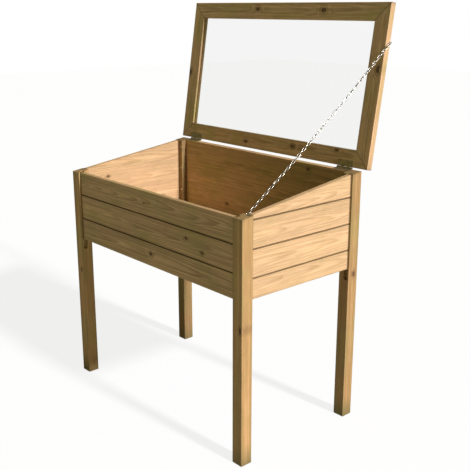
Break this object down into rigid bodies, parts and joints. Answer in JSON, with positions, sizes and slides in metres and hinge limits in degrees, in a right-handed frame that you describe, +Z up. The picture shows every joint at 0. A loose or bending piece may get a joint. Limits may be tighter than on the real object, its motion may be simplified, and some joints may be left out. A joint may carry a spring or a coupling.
{
  "type": "cold frame",
  "caption": "Raised wooden cold frame: a boarded box on square legs with a sloping rim, and a glazed timber lid hinged at the back and held open by a stay chain.",
  "frame": {"origin": "on the ground, under the middle of the object's bounding box with its lid open", "axes": "+X to the object's right, +Y to the back, +Z up"},
  "size_m": [0.9632, 0.6205, 1.3742],
  "materials": {
    "leg_timber": "planed, pressure treated",
    "board_timber": "planed, pressure treated, tongued and grooved",
    "floor_timber": "planed, pressure treated",
    "lid_timber": "planed, pressure treated",
    "glazing": "clear, smooth",
    "hinge_steel": "zinc plated and passivated",
    "chain_zinc": "bright zinc plated",
    "screw_steel": "zinc plated"
  },
  "bodies": {
    "box": {"back_board_1": "board_timber", "back_board_2": "board_timber", "back_board_3": "board_timber", "back_board_4": "board_timber", "back_panel_screws": "screw_steel", "bearer_back": "floor_timber", "bearer_front": "floor_timber", "bearer_screws": "screw_steel", "chain_eye_box": "chain_zinc", "floor_screws": "screw_steel", "floor_slat_1": "floor_timber", "floor_slat_2": "floor_timber", "floor_slat_3": "floor_timber", "floor_slat_4": "floor_timber", "floor_slat_5": "floor_timber", "floor_slat_6": "floor_timber", "floor_slat_7": "floor_timber", "floor_slat_8": "floor_timber", "floor_slat_9": "floor_timber", "front_board_1": "board_timber", "front_board_2": "board_timber", "front_board_3": "board_timber", "front_panel_screws": "screw_steel", "hinge_box_leaf_left": "hinge_steel", "hinge_box_leaf_right": "hinge_steel", "hinge_box_screws": "hinge_steel", "hinge_pin_left": "hinge_steel", "hinge_pin_right": "hinge_steel", "left_board_1": "board_timber", "left_board_2": "board_timber", "left_board_3": "board_timber", "left_board_4": "board_timber", "left_panel_screws": "screw_steel", "leg_back_left": "leg_timber", "leg_back_right": "leg_timber", "leg_front_left": "leg_timber", "leg_front_right": "leg_timber", "right_board_1": "board_timber", "right_board_2": "board_timber", "right_board_3": "board_timber", "right_board_4": "board_timber", "right_panel_screws": "screw_steel", "stay_chain": "chain_zinc"},
    "lid": {"chain_eye_lid": "chain_zinc", "glazing_pane": "glazing", "hinge_lid_leaf_left": "hinge_steel", "hinge_lid_leaf_right": "hinge_steel", "hinge_lid_screws": "hinge_steel", "lid_corner_screws": "screw_steel", "lid_rail_back": "lid_timber", "lid_rail_front": "lid_timber", "lid_stile_left": "lid_timber", "lid_stile_right": "lid_timber"}
  },
  "joints": [
    {"name": "lid_hinge", "type": "hinge", "parent": "box", "child": "lid", "pos_m": [0, 0.20614, 0.85794], "axis": [1, 0, 0], "range_deg": [0, 107.08], "deforming": ["stay_chain"]}
  ]
}
